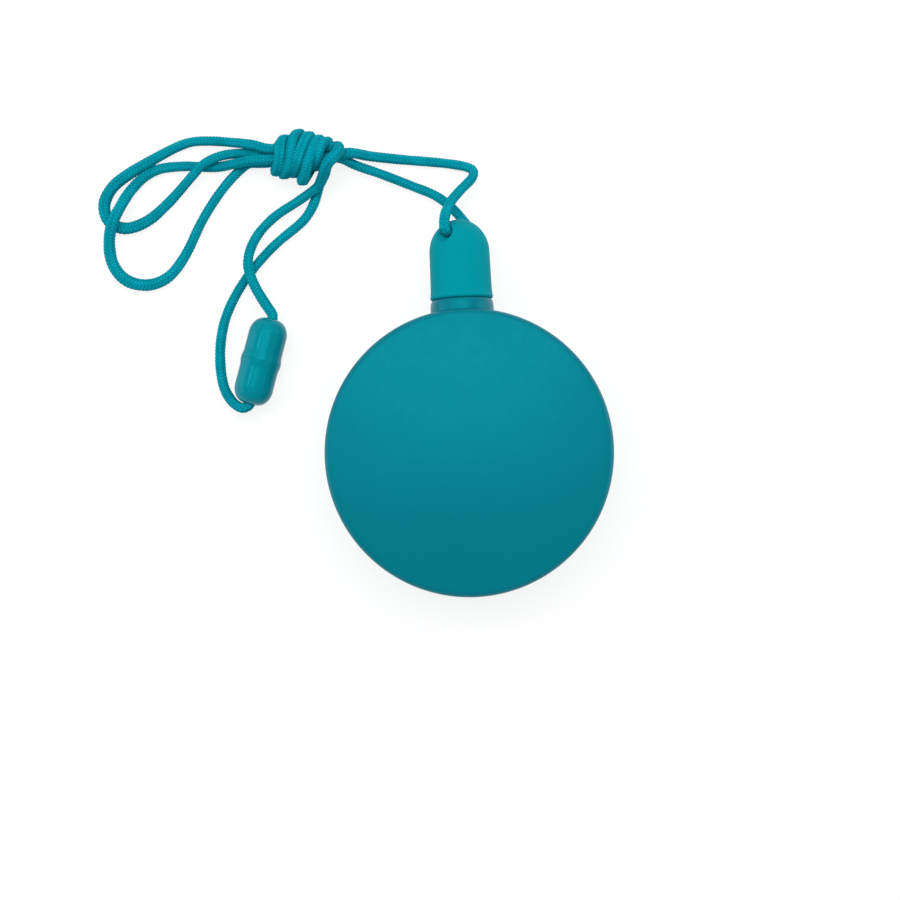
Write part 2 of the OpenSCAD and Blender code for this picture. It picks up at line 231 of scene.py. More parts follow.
# cap's back hole, knot, long loop on the left, foot of the knot's winding
backRoute = [
    onHole(0, 0), onHole(-mouth, 0), onHole(-4.6, 0.2), onHole(-5.2, 0.8),
    atCap(2.3, 1.9, -4.85), atCap(1.3, 3.2, -5), atCap(0.3, 4.7, -5.2),
    (-4, 57.4, lowZ), (-10, 60.4, floorZ), (-17, 63.4, lowZ), (-22, 65.3, lowZ + 0.6),
    atKnot(8.2, -1.4, coreLow + 0.1), atKnot(5.5, -coreSide, coreHigh - 0.3),
    atKnot(-7.5, -coreSide, coreHigh),
    (-44.6, 67.1, 4.6), (-48.6, 66.8, 3), (-53, 66.5, lowZ - 0.5),
    (-60, 67.1, floorZ), (-66.6, 66.4, floorZ), (-71.4, 62.9, floorZ),
    (-74.5, 57.8, overZ - 0.4), (-76.1, 54.4, overZ), (-77.1, 50.6, lowZ), (-76.6, 46, floorZ),
    (-73.8, 42.3, floorZ), (-69, 41, floorZ), (-64.4, 42.6, floorZ), (-60.4, 47.4, floorZ),
    (-56.6, 54.6, floorZ), (-52, 61.2, floorZ), (-48.2, 65.2, floorZ), (-45.6, 67, floorZ),
    (-43.1, 67, floorZ),
]
# up from the floor, round and round the strands, then one turn across the others
windRoute = [
    (-43.1, 67, floorZ), (-41.1, 67, floorZ), (-40.2, 67.5, floorZ), (-39.6, 68.7, floorZ + 0.1),
    atKnot(-6.2, 1.7, -3), atKnot(-5.3, 2.7, -1.6),
]
for top, bottom, nextTop in zip(knotShape["tops"], knotShape["bottoms"], knotShape["tops"][1:]):
    windRoute += halfTurn(top, bottom, knotShape["depth"])
    windRoute += halfTurn(bottom, nextTop, -knotShape["depth"])
windRoute += [
    atKnot(*knotShape["tops"][-1], 0), atKnot(7.5, 0.8, 1.5), atKnot(7.7, -0.1, 3.1),
    atKnot(7.3, -1.2, 4.3), atKnot(6.4, -2.2, 4.9), atKnot(5.3, -3.2, 4.6), atKnot(4.5, -4.3, 3.2),
    atKnot(3.8, -5.7, 1.1), atKnot(2.7, -7.2, -1),
]
# from the knot's last turn into the clasp's upper half
upperRoute = [
    atKnot(2.7, -7.2, -1), atKnot(0.8, -8.4, -2), (-35.2, 57.9, lowZ), (-40.4, 54.9, floorZ),
    (-44.6, 50.6, lowZ - 0.3), (-46.6, 45, overZ), (-45.7, 40.4, overZ),
    (-43.9, 36.7, 3.8), (-42.6, 34.5, 4.3), onClasp(clasp["half"] + 0.8), onClasp(clasp["cordEnd"]),
]
# from the end of the front route into the clasp's lower half
lowerRoute = [
    (-31.5, 57.6, floorZ), (-33.9, 53.9, floorZ), (-40.2, 49, floorZ), (-45.4, 43.8, floorZ),
    (-49.8, 37.8, floorZ), (-52.6, 31.8, floorZ), (-53.8, 24.6, floorZ), (-53.2, 17.6, lowZ - 0.4),
    (-51.4, 14.3, lowZ + 0.8), (-50, 13.05, 3.8), (-49.3, 12.7, 4.2),
    (-48.6, 12.65, claspZ), (-47.95, 12.9, claspZ),
    onClasp(-clasp["half"] - 0.2), onClasp(-clasp["cordEnd"]),
]


def roundLine(points, perSpan=16, softening=14):
    # smooth line through the points, and where each point lies on it
    p = np.array(points, float)
    gaps = np.sqrt(np.linalg.norm(np.diff(p, axis=0), axis=1))
    t = np.concatenate([[0], np.cumsum(gaps)])
    slope = np.gradient(p, t, axis=0)
    line, marks = [], []
    for i in range(len(p) - 1):
        h = t[i + 1] - t[i]
        u = np.linspace(0, 1, perSpan, endpoint=False)[:, None]
        marks.append(len(line) * perSpan)
        line.append(
            (2 * u**3 - 3 * u**2 + 1) * p[i] + (u**3 - 2 * u**2 + u) * h * slope[i]
            + (3 * u**2 - 2 * u**3) * p[i + 1] + (u**3 - u**2) * h * slope[i + 1]
        )
    line = np.vstack(line + [p[-1:]])
    for _ in range(softening):
        line[1:-1] = (line[:-2] + 2 * line[1:-1] + line[2:]) / 4
    line[:, 2] = np.maximum(line[:, 2], cordLevels["floor"])  # lies on the floor, never in it
    return line, marks + [len(line) - 1]


def evenRings(line, step):
    along = np.concatenate([[0], np.cumsum(np.linalg.norm(np.diff(line, axis=0), axis=1))])
    count = max(2, round(along[-1] / step)) + 1
    at = np.linspace(0, along[-1], count)
    return np.column_stack([np.interp(at, along, line[:, k]) for k in range(3)]), along


def ringAxes(centres):
    # side and upward directions of each ring, which turn as little as they can along the line
    heading = np.gradient(centres, axis=0)
    heading /= np.linalg.norm(heading, axis=1)[:, None]
    slanted = (0.3, 0.2, 1)  # not along the first heading
    side = np.cross(heading[0], slanted)
    sides = []
    for h in heading:
        side = side - h * np.dot(side, h)
        side = side / np.linalg.norm(side)
        sides.append(side)
    sides = np.array(sides)
    return sides, np.cross(heading, sides)


def stitchHeight(across, along):
    # 0 in the grooves and 1 on the yarn: columns of V stitches with a split down the middle
    form = stitchForm
    x = (across % 1) * 2 - 1
    yarn = 0.5 + 0.5 * np.cos(2 * np.pi * (along + form["lean"] * np.abs(x)))
    column = 1 - form["edgeDrop"] * np.abs(x) ** form["edgePower"]
    split = 1 - form["split"] * np.exp(-((x / form["splitWidth"]) ** 2))
    return column * split * (form["groove"] + (1 - form["groove"]) * yarn)


def rollCord(name, centres, sides, ups, firstRing, look, radius, pressed=roundPower):
    # a flat grid rolled into a tube, with the stitches as real relief and as its UV map;
    # radius has a value for each ring, and pressed one for all or for each
    n, k = len(centres), look["sides"]
    bm = bmesh.new()
    bm.loops.layers.uv.new("stitches")
    bmesh.ops.create_grid(bm, x_segments=k, y_segments=n - 1, size=0.5, calc_uvs=True)
    mesh = meshFrom(name, bm)
    count = len(mesh.vertices)
    flat = np.zeros(count * 3)
    mesh.vertices.foreach_get("co", flat)
    flat = flat.reshape(-1, 3)
    around = np.rint((flat[:, 0] + 0.5) * k).astype(int)
    ring = np.rint((flat[:, 1] + 0.5) * (n - 1)).astype(int)
    angle = 2 * np.pi * around / k
    stitch = (ring + firstRing) / look["ringsPerStitch"]
    height = stitchHeight(around / k * look["columns"], stitch)
    r = radius[ring] * (1 - 2 * look["relief"] / look["diameter"] * (1 - height))
    long = np.sin(stitch * look["longWave"] + look["longStart"])
    short = np.sin(stitch * look["shortWave"]) * np.sin(stitch * look["beatWave"])
    r *= 1 + look["slack"] * (long + look["shortShare"] * short)
    # a pressed section is flat towards X, where its neighbours lie
    lean = np.arctan2(ups[ring, 0], sides[ring, 0])
    flatX, flatY = np.abs(np.cos(angle - lean)), np.abs(np.sin(angle - lean))
    power = np.broadcast_to(pressed, n)[ring]
    r *= (flatX**power + flatY**power) ** (-1 / power)
    outward = np.cos(angle)[:, None] * sides[ring] + np.sin(angle)[:, None] * ups[ring]
    place = centres[ring] + r[:, None] * outward
    mesh.vertices.foreach_set("co", (place * mm).ravel())
    uv = np.zeros(len(mesh.loops) * 2)
    mesh.uv_layers["stitches"].data.foreach_get("uv", uv)
    uv = uv.reshape(-1, 2)
    uv[:, 0] *= look["columns"]
    uv[:, 1] = (uv[:, 1] * (n - 1) + firstRing) / look["ringsPerStitch"]
    mesh.uv_layers["stitches"].data.foreach_set("uv", uv.ravel())
    bm = bmesh.new()
    bm.from_mesh(mesh)
    bmesh.ops.remove_doubles(bm, verts=bm.verts, dist=mergeGap)
    bmesh.ops.holes_fill(bm, edges=[e for e in bm.edges if e.is_boundary], sides=0)
    bmesh.ops.recalc_face_normals(bm, faces=bm.faces)
    bm.to_mesh(mesh)
    bm.free()
    piece = linkMesh(name, mesh)
    smoothShade(piece, look["sharp"])
    return piece


routeParts = [upperRoute[::-1], windRoute[::-1], backRoute[::-1], frontRoute, lowerRoute]
wholeRoute, joins = list(routeParts[0]), [0, len(routeParts[0]) - 1]
for part in routeParts[1:]:
    wholeRoute += part[1:]
    joins.append(len(wholeRoute) - 1)
cordLine, cordMarks = roundLine(wholeRoute)
cordCentres, cordAlong = evenRings(cordLine, cordLook["stitch"] / cordLook["ringsPerStitch"])
fullSpan = cordLook["fullAt"] - cordLook["fullFrom"]
fullness = np.clip((cordCentres[:, 0] - cordLook["fullFrom"]) / fullSpan, 0, 1)
fullness = 1 + cordLook["fuller"] * fullness**2 * (3 - 2 * fullness)
cordCentres[:, 2] *= fullness
cordSides, cordUps = ringAxes(cordCentres)
ringJoins = [round(cordAlong[cordMarks[j]] / cordAlong[-1] * (len(cordCentres) - 1)) for j in joins]
cordNames = ["cordClaspUpper", "cordKnotWinding", "cordBackRun", "cordFrontRun", "cordClaspLower"]
cordNodes = ["cord_clasp_upper", "cord_knot", "cord_back_run", "cord_front_run", "cord_clasp_lower"]
cordPieces, cordPaths = {}, {}
for i, name in enumerate(cordNames):
    a, b = ringJoins[i], ringJoins[i + 1] + 1
    radius = cordLook["diameter"] / 2 * fullness[a:b]
    look, pressed = cordLook, roundPower
    if name == "cordKnotWinding":
        look = {**cordLook, "ringsPerStitch": knotShape["ringsPerStitch"]}
        middle = np.sqrt(np.sin(np.pi * np.linspace(0, 1, b - a)))  # 0 at both ends
        uneven = knotShape["uneven"] * np.sin(np.linspace(0, knotShape["unevenWaves"], b - a))
        radius = radius * (1 + (knotShape["swell"] - 1 + uneven) * middle)
        pressed = roundPower + (knotShape["pressed"] - roundPower) * middle
    centres, sides, ups = cordCentres[a:b], cordSides[a:b], cordUps[a:b]
    cordPieces[name] = rollCord(name, centres, sides, ups, a, look, radius, pressed)
    cordPaths[name] = [tuple(c * mm) for c in centres]
    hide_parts(cordNodes[i])
print("cord rolled,", round(cordAlong[-1], 1), "mm long")


# rigid pieces: lathe-turned shapes with their openings cut out
def arcPoints(centre, radius, first, last, steps):
    # radius is one number, or two for an ellipse
    rx, ry = radius if isinstance(radius, tuple) else (radius, radius)
    turns = [math.radians(first + (last - first) * i / steps) for i in range(steps + 1)]
    return [(centre[0] + rx * math.cos(a), centre[1] + ry * math.sin(a)) for a in turns]


def turnShape(section, steps, place):
    # spins a section of (radius, height) points about Z, then puts it in its place
    bm = bmesh.new()
    verts = [bm.verts.new((r * mm, 0, h * mm)) for r, h in section]
    edges = [bm.edges.new(pair) for pair in zip(verts, verts[1:])]
    if section[0][0] > 0:
        edges.append(bm.edges.new((verts[-1], verts[0])))
    bmesh.ops.spin(
        bm, geom=verts + edges, cent=(0, 0, 0), axis=(0, 0, 1),
        angle=2 * math.pi, steps=steps, use_merge=True,
    )
    bmesh.ops.remove_doubles(bm, verts=bm.verts, dist=mergeGap)
    bmesh.ops.recalc_face_normals(bm, faces=bm.faces)
    bmesh.ops.transform(bm, matrix=place, verts=bm.verts)
    return bm


def screwRidge(radius, ridge, start, side, place):
    # a thread's ridge: its section is spun and lifted a little at every step
    half, tip = ridge["base"] / 2, ridge["tip"] / 2
    depth = side * ridge["depth"]
    section = [(0, -half), (0, half), (depth, tip), (depth, -tip)]
    bm = bmesh.new()
    verts = [bm.verts.new(((radius + x) * mm, 0, (start + h) * mm)) for x, h in section]
    face = bm.faces.new(verts)
    rise = ridge["lead"] / ridge["stepsPerTurn"]
    bmesh.ops.spin(
        bm, geom=[face, *face.edges, *face.verts], cent=(0, 0, 0), axis=(0, 0, 1), dvec=(0, 0, rise * mm),
        angle=ridge["turns"] * 2 * math.pi, steps=round(ridge["turns"] * ridge["stepsPerTurn"]),
    )
    bmesh.ops.holes_fill(bm, edges=[e for e in bm.edges if e.is_boundary], sides=0)
    bmesh.ops.recalc_face_normals(bm, faces=bm.faces)
    bmesh.ops.transform(bm, matrix=place, verts=bm.verts)
    return bm


def combine(piece, bm, operation):
    # joins a shape to a piece, or cuts it out, and keeps the result as the piece's mesh
    tool = linkMesh("tool", meshFrom("tool", bm))
    step = piece.modifiers.new("combine", "BOOLEAN")
    step.operation = operation
    step.solver = "EXACT"
    step.object = tool
    result = bpy.data.meshes.new_from_object(piece.evaluated_get(bpy.context.evaluated_depsgraph_get()))
    piece.modifiers.clear()
    piece.data = result
    bpy.data.objects.remove(tool)


def addShell(piece, bm):
    # adds a closed shape that overlaps the piece, without cutting either
    bm.from_mesh(piece.data)
    bm.to_mesh(piece.data)
    bm.free()


def alongY(y):
    # lathe's Z turned to the neck's axis, from a height on it
    return Matrix.Translation((0, y * mm, neck["z"] * mm)) @ Matrix.Rotation(math.radians(-90), 4, "X")


def alongClasp(side):
    # lathe's Z turned along the clasp, from its seam to the upper (1) or the lower (-1) half
    heading = (Vector(onClasp(side)) - Vector(clasp["at"])).normalized()
    turn = heading.to_track_quat("Z", "Y").to_matrix().to_4x4()
    return Matrix.Translation(Vector(clasp["at"]) * mm) @ turn


# the ridge on the neck and the one in the cap; sink is how far it starts inside the wall
thread = {
    "base": 1.5, "tip": 0.5, "depth": 0.6, "sink": 0.1, "turns": 1.75, "lead": 3, "stepsPerTurn": 64,
}


# bottle: flat back, straight rim, domed face, and a threaded neck out of its rim
bottleShape = {
    "height": 19,
    "dome": 186.2,
    "flatR": 20,
    "edge": 1.5,
    "wall": 1.3,
    "innerEdge": 0.5,  # share of the wall that the edge's radius loses inside
    "backLift": 0.4,  # the back rises from its flat to its edge
    "backArc": -84,
    "partingLine": 0.08,
    "partingHalf": 0.25,
    "partingReach": 0.9,
    "neckRoot": 5,  # how far inside the disc the neck's shape begins
    "boreRoot": 6,
    "collarR": 6.9,
    "collarEdge": 0.5,
    "neckR": 5,
    "rimEdge": 0.3,
    "boreR": 3.8,
    "boreEdge": 0.5,
    "boreEdgeDeep": 0.4,
    "past": 0.1,  # a cutting shape reaches past the surface
    "threadFrom": 2.43,
    "steps": 192,
    "insideSteps": 128,
    "neckSteps": 96,
    "backSteps": 8,  # steps along the section's arcs
    "edgeSteps": 10,
    "domeSteps": 24,
    "collarSteps": 10,
    "rimSteps": 4,
    "sharp": 28,
}


def discSection(look, inset):
    # outline from the middle of the back to the middle of the face, moved inwards by the inset
    r, edge = neck["discR"] - inset, look["edge"] - inset * look["innerEdge"]
    dome = look["dome"] - inset
    domeZ = look["height"] - look["dome"]
    edgeZ = domeZ + math.sqrt((dome - edge) ** 2 - (r - edge) ** 2)
    slope = math.degrees(math.atan2(edgeZ - domeZ, r - edge))
    section = [(0, inset), (look["flatR"], inset)]
    backZ = inset + edge + look["backLift"]
    section += arcPoints((r - edge, backZ), edge, look["backArc"], 0, look["backSteps"])
    if not inset:
        reach, half = look["partingReach"], look["partingHalf"]
        for out, up in ((0, -reach), (0, -half), (look["partingLine"], 0), (0, half), (0, reach)):
            section.append((r + out, neck["z"] + up))
    section += arcPoints((r - edge, edgeZ), edge, 0, slope, look["edgeSteps"])
    section += arcPoints((0, domeZ), dome, slope, 90, look["domeSteps"])[1:-1]
    return section + [(0, domeZ + dome)]


def makeBottle(look):
    body = turnShape(discSection(look, 0), look["steps"], Matrix())
    bottle = linkMesh("bottleBody", meshFrom("bottleBody", body))
    disc, top, rim = neck["discR"], neck["collarTop"], neck["rim"]
    foot, steps = disc - look["neckRoot"], look["neckSteps"]
    collar, edge = look["collarR"], look["collarEdge"]
    outside = [(0, foot), (collar, foot)]
    flank = (edge, top - disc - edge)
    outside += arcPoints((collar - edge, disc + edge), flank, 0, 90, look["collarSteps"])
    tube, edge = look["neckR"], look["rimEdge"]
    outside.append((tube, top))
    outside += arcPoints((tube - edge, rim - edge), edge, 0, 90, look["rimSteps"]) + [(0, rim)]
    combine(bottle, turnShape(outside, steps, alongY(0)), "UNION")
    inside = turnShape(discSection(look, look["wall"]), look["insideSteps"], Matrix())
    combine(bottle, inside, "DIFFERENCE")
    hole, deep, past = look["boreR"], disc - look["boreRoot"], rim + look["past"]
    bore = [(0, deep), (hole, deep), (hole, rim - look["boreEdgeDeep"])]
    bore += [(hole + look["boreEdge"], past), (0, past)]
    combine(bottle, turnShape(bore, steps, alongY(0)), "DIFFERENCE")
    ridgeFrom = top + look["threadFrom"]
    addShell(bottle, screwRidge(tube - thread["sink"], thread, ridgeFrom, 1, alongY(0)))
    smoothShade(bottle, look["sharp"])
    return bottle


bottle = makeBottle(bottleShape)
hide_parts("bottle")
print("bottle turned")


# cap: plain barrel with a bead at its foot, domed top with the cord's hole, socket for the wand inside
capShape = {
    "height": 17.6,
    "r": 6.65,
    "draft": 0.1,
    "straight": 10.4,
    "bore": 5.75,
    "upperBore": 5.3,
    "upperDeep": 2.2,
    "mouthEdge": 0.3,
    "threadFrom": 3.95,
    "socketR": 2.5,
    "socketDrop": 4.4,
    "stemHole": 1.18,
    "bead": 0.2,
    "beadEdge": 0.6,
    "beadArc": 35,
    "flareFrom": 1,  # above the bead the wall eases in
    "flareH": 1.8,
    "flareShare": 0.7,
    "flareSteps": 6,
    "holeR": 1.3,
    "holeFlare": 0.7,
    "holeMouths": [(0, 3.6), (0.25, 4.4), (1, 5.1), (2, 6.6)],  # (share of the flare, distance along)
    "steps": 128,
    "holeSteps": 48,
    "beadSteps": 10,
    "domeSteps": 20,
    "sharp": 32,
}


def makeCap(look):
    ceiling = neck["ceiling"] - neck["capFoot"]
    place = alongY(neck["capFoot"])
    r, top = look["r"], look["r"] - look["draft"]
    stem, socket, socketFoot = look["stemHole"], look["socketR"], ceiling - look["socketDrop"]
    section = [(0, ceiling), (stem, ceiling), (stem, socketFoot), (socket, socketFoot), (socket, ceiling)]
    bore, upper, step = look["bore"], look["upperBore"], ceiling - look["upperDeep"]
    section += [(upper, ceiling), (upper, step), (bore, step)]
    section += [(bore, look["mouthEdge"]), (bore + look["mouthEdge"], 0)]
    bead, edge = look["bead"], look["beadEdge"]
    section += arcPoints((r + bead - edge, edge), edge, -90, look["beadArc"], look["beadSteps"])
    for i in range(1, look["flareSteps"] + 1):
        u = i / look["flareSteps"]
        out = look["flareShare"] * bead * (1 - u) ** 2
        section.append((r + out, look["flareFrom"] + look["flareH"] * u))
    rise = look["height"] - look["straight"]
    dome = arcPoints((0, look["straight"]), (top, rise), 0, 90, look["domeSteps"])
    section += dome[:-1] + [(0, look["height"])]
    cap = linkMesh("screwCap", meshFrom("screwCap", turnShape(section, look["steps"], place)))
    half = [(look["holeR"] + share * look["holeFlare"], along) for share, along in look["holeMouths"]]
    reach = half[-1][1]
    hole = [(0, -reach)] + [(wide, -along) for wide, along in half[::-1]] + half + [(0, reach)]
    turn = math.radians(neck["holeTurn"])
    heading = Vector((-math.cos(turn), 0, math.sin(turn))).to_track_quat("Z", "Y").to_matrix().to_4x4()
    holePlace = Matrix.Translation((0, neck["holeY"] * mm, neck["z"] * mm)) @ heading
    combine(cap, turnShape(hole, look["holeSteps"], holePlace), "DIFFERENCE")
    addShell(cap, screwRidge(bore + thread["sink"], thread, look["threadFrom"], -1, place))
    smoothShade(cap, look["sharp"])
    return cap


cap = makeCap(capShape)
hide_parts("cap")
print("cap turned")


# wand: drop-shaped loop on a stem that is pressed into the cap
wandShape = {
    "tip": -8.7,
    "length": 15.6,
    "width": 6.8,
    "rim": 1.1,
    "shorter": 4,  # rims that the opening is shorter than the loop
    "thick": 2,
    "edge": 0.32,
    "edgeSteps": 4,
    "edgeAngle": 1,  # radians from which an edge is rounded
    "stemR": 1.2,
    "stemEdge": 0.3,
    "footR": 0.94,  # the stem is thinner where it joins the loop
    "footH": 0.5,
    "taperTo": 1.6,
    "roundSteps": 20,
    "stemSteps": 40,
    "sharp": 40,
}


def dropOutline(foot, radius, endRadius, length, steps):
    # a round foot drawn up to a narrow end, with straight sides between
    reach = length - radius - endRadius
    lean = math.degrees(math.asin((radius - endRadius) / reach))
    low = arcPoints((0, foot), radius, 180 - lean, 360 + lean, steps)
    return low + arcPoints((0, foot + reach), endRadius, lean, 180 - lean, steps)


def makeWand(look):
    bm = bmesh.new()
    loops = []
    r, rim, end = look["width"] / 2, look["rim"], look["stemR"]
    middle, low = look["tip"] + r, neck["z"] - look["thick"] / 2
    for inset, narrow in ((0, end), (rim, end / 2)):
        length = look["length"] - look["shorter"] * inset
        outline = dropOutline(middle, r - inset, narrow, length, look["roundSteps"])
        verts = [bm.verts.new((x * mm, y * mm, low * mm)) for x, y in outline]
        loops += [bm.edges.new(pair) for pair in zip(verts, verts[1:] + verts[:1])]
    ring = bmesh.ops.bridge_loops(bm, edges=loops)["faces"]
    raised = bmesh.ops.extrude_face_region(bm, geom=ring, use_keep_orig=True)["geom"]
    lifted = [v for v in raised if isinstance(v, bmesh.types.BMVert)]
    bmesh.ops.translate(bm, verts=lifted, vec=(0, 0, look["thick"] * mm))
    bmesh.ops.recalc_face_normals(bm, faces=bm.faces)
    rims = [e for e in bm.edges if e.calc_face_angle(0) > look["edgeAngle"]]
    bmesh.ops.bevel(
        bm, geom=rims, offset=look["edge"] * mm, offset_type="OFFSET", affect="EDGES",
        segments=look["edgeSteps"], profile=0.5, material=-1,
    )
    wand = linkMesh("bubbleWand", meshFrom("bubbleWand", bm))
    foot, top = look["tip"] + look["length"] - 2 * end, neck["ceiling"]
    thin, edge = look["footR"], look["stemEdge"]
    stem = [(0, foot), (thin, foot), (thin, foot + look["footH"]), (end, foot + look["taperTo"])]
    stem += [(end, top - edge), (end - edge, top), (0, top)]
    combine(wand, turnShape(stem, look["stemSteps"], alongY(0)), "UNION")
    smoothShade(wand, look["sharp"])
    return wand


wand = makeWand(wandShape)
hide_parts("bubble_wand")
print("wand made")


# sealing ring between the neck's rim and the cap
sealShape = {
    "from": 44.35, "to": 45.25, "outerR": 5, "innerR": 2.65, "edge": 0.2,
    "edgeSteps": 4, "steps": 64, "sharp": 40,
}


def makeSeal(look):
    inner, outer, edge = look["innerR"], look["outerR"], look["edge"]
    low, high, steps = look["from"] + edge, look["to"] - edge, look["edgeSteps"]
    section = arcPoints((outer - edge, low), edge, -90, 0, steps)
    section += arcPoints((outer - edge, high), edge, 0, 90, steps)
    section += arcPoints((inner + edge, high), edge, 90, 180, steps)
    section += arcPoints((inner + edge, low), edge, 180, 270, steps)
    seal = linkMesh("sealRing", meshFrom("sealRing", turnShape(section, look["steps"], alongY(0))))
    smoothShade(seal, look["sharp"])
    return seal


seal = makeSeal(sealShape)
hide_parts("seal_washer")


# clasp: two barrels with rounded ends, the lower one's spigot pushed into the upper one
claspShape = {
    "r": 4.25,
    "bulge": 0.25,
    "bulgeH": 1.9,
    "bulgeSteps": 8,
    "seam": 0.03,
    "gap": 0.02,  # between the two halves
    "endR": 2.9,
    "endH": 3.7,
    "endArc": 84,
    "endSteps": 14,
    "hole": 1.3,
    "lip": 0.25,
    "lipDrop": 0.02,
    "lipDeep": 0.3,
    "chamber": 2.45,
    "socket": 3.25,
    "socketDeep": 4.7,
    "socketEdge": 0.2,
    "spigot": 3.1,
    "spigotDeep": 4.4,
    "spigotEdge": 0.4,
    "steps": 96,
    "sharp": 35,
}


def barrelOutside(look, start):
    # from the seam's edge over the bulge to the mouth of the cord's hole
    half, r, seam = clasp["half"], look["r"], look["seam"]
    section = [(r + look["bulge"] - seam, start)]
    for i in range(look["bulgeSteps"] + 1):
        u = i / look["bulgeSteps"]
        out = look["bulge"] * math.cos(u * math.pi / 2) ** 2
        section.append((r + out, start + seam + (look["bulgeH"] - seam) * u))
    endR, endH = look["endR"], look["endH"]
    section += arcPoints((r - endR, half - endH), (endR, endH), 0, look["endArc"], look["endSteps"])
    hole = look["hole"]
    return section + [(hole + look["lip"], half - look["lipDrop"]), (hole, half - look["lipDeep"])]


def makeClasp(look):
    end, chamber = clasp["half"] - clasp["endWall"], look["chamber"]
    inside = [(look["hole"], end), (chamber, end)]
    r, deep, edge = look["socket"], look["socketDeep"], look["socketEdge"]
    upper = barrelOutside(look, 0) + inside
    upper += [(chamber, deep), (r, deep), (r, edge), (r + edge, 0)]
    r, deep, edge = look["spigot"], -look["spigotDeep"], look["spigotEdge"]
    lower = barrelOutside(look, look["gap"]) + inside
    lower += [(chamber, deep), (r - edge, deep), (r, deep + edge), (r, look["gap"])]
    halves = []
    for name, section, side in (("claspSocket", upper, 1), ("claspPlug", lower, -1)):
        barrel = linkMesh(name, meshFrom(name, turnShape(section, look["steps"], alongClasp(side))))
        smoothShade(barrel, look["sharp"])
        halves.append(barrel)
    return halves


claspSocket, claspPlug = makeClasp(claspShape)
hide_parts("clasp_socket")
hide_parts("clasp_plug")
print("clasp turned")


# stop knots: each end of the cord drawn up tight inside its half of the clasp
stopKnot = {"size": 0.52, "wind": 0.77, "cordR": 0.72, "steps": 160}


def makeStopKnot(name, side, look):
    # a trefoil about the clasp's axis
    turns = np.linspace(0, 2 * np.pi, look["steps"])
    x = look["size"] * (np.sin(turns) + 2 * np.sin(2 * turns))
    y = look["size"] * (np.cos(turns) - 2 * np.cos(2 * turns))
    along = clasp["knotAt"] - look["wind"] * np.sin(3 * turns)
    place = alongClasp(side)
    knot = np.array([place @ Vector(p * mm) for p in np.column_stack([x, y, along])]) / mm
    sides, ups = ringAxes(knot)
    return rollCord(name, knot, sides, ups, 0, cordLook, np.full(look["steps"], look["cordR"]))


stopKnots = {}
for name, side, node in (
    ("stopKnotUpper", 1, "cord_end_knot_upper"),
    ("stopKnotLower", -1, "cord_end_knot_lower"),
):
    stopKnots[name] = makeStopKnot(name, side, stopKnot)
    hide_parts(node)
print("stop knots tied")


# floor, background and lamps
studio = {
    "floorSize": 20,  # metres
    "floorDrop": 0.05,
    "worldLight": 0.4,
    "seenPaper": 0.2,  # greys of the floor: where it is seen, and for the light that it throws back
    "bounce": 0.9,
    "seenGlow": 0.84,
}


def newMaterial(name):
    material = bpy.data.materials.new(name)
    material.use_nodes = True
    material.node_tree.nodes.clear()
    return material, material.node_tree.nodes, material.node_tree.links


def addSeen(nodes, links):
    # 1 for a ray that comes straight from the camera, off a glossy surface or through a clear one
    path = nodes.new("ShaderNodeLightPath")
    mirrored = nodes.new("ShaderNodeMath")
    mirrored.operation = "MAXIMUM"
    links.new(path.outputs["Is Glossy Ray"], mirrored.inputs[0])
    links.new(path.outputs["Is Transmission Ray"], mirrored.inputs[1])
    seen = nodes.new("ShaderNodeMath")
    seen.operation = "MAXIMUM"
    links.new(path.outputs["Is Camera Ray"], seen.inputs[0])
    links.new(mirrored.outputs[0], seen.inputs[1])
    return seen.outputs[0]


def layFloor(look):
    # white paper that glows a little where it is seen, so that it reads as white and keeps its shadow
    bm = bmesh.new()
    bmesh.ops.create_grid(bm, x_segments=1, y_segments=1, size=look["floorSize"] / 2)
    bmesh.ops.translate(bm, verts=bm.verts, vec=(0, 0, -look["floorDrop"] * mm))
    floor = linkMesh("studioFloor", meshFrom("studioFloor", bm))
    material, nodes, links = newMaterial("floorPaper")
    paper = nodes.new("ShaderNodeBsdfDiffuse")
    paper.inputs["Color"].default_value = (look["seenPaper"],) * 3 + (1,)
    glow = nodes.new("ShaderNodeEmission")
    glow.inputs["Strength"].default_value = look["seenGlow"]
    shown = nodes.new("ShaderNodeAddShader")
    links.new(paper.outputs[0], shown.inputs[0])
    links.new(glow.outputs[0], shown.inputs[1])
    bounce = nodes.new("ShaderNodeBsdfDiffuse")
    bounce.inputs["Color"].default_value = (look["bounce"],) * 3 + (1,)
    both = nodes.new("ShaderNodeMixShader")
    links.new(addSeen(nodes, links), both.inputs[0])
    links.new(bounce.outputs[0], both.inputs[1])
    links.new(shown.outputs[0], both.inputs[2])
    out = nodes.new("ShaderNodeOutputMaterial")
    links.new(both.outputs[0], out.inputs["Surface"])
    floor.data.materials.append(material)


def lightWorld(look):
    # soft light from all round, with a white background where it is seen
    world = bpy.data.worlds.new("studioWorld")
    world.use_nodes = True
    scene.world = world
    nodes, links = world.node_tree.nodes, world.node_tree.links
    nodes.clear()
    both = nodes.new("ShaderNodeMixShader")
    links.new(addSeen(nodes, links), both.inputs[0])
    for socket, strength in zip(both.inputs[1:], (look["worldLight"], 1)):
        sky = nodes.new("ShaderNodeBackground")
        sky.inputs["Color"].default_value = (1, 1, 1, 1)
        sky.inputs["Strength"].default_value = strength
        links.new(sky.outputs[0], socket)
    out = nodes.new("ShaderNodeOutputWorld")
    links.new(both.outputs[0], out.inputs["Surface"])


